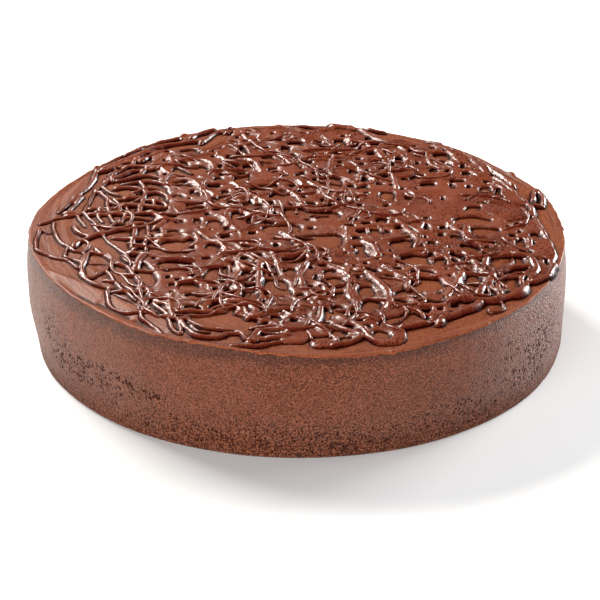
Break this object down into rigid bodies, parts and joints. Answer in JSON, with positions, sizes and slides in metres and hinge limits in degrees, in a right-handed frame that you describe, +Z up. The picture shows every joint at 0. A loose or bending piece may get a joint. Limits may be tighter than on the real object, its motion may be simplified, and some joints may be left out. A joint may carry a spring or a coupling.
{
  "type": "chocolate mousse cake",
  "caption": "Round whole chocolate mousse cake: a low drum with a matte pitted side, a thin chocolate icing and a web of glossy ganache drizzle on its top.",
  "frame": {"origin": "middle of the bounding box of the cake's flat bottom, on the surface that it stands on", "axes": "+Z up; the side shown at the front of the picture faces -Y; +X to the right of it"},
  "size_m": [0.2296, 0.2266, 0.0501],
  "materials": {
    "mousse": "matte, finely pitted chocolate mousse",
    "icing": "satin chocolate icing with glossy ganache drizzle"
  },
  "bodies": {
    "root": {"mousse_base": "mousse", "top_icing": "icing"}
  },
  "joints": []
}
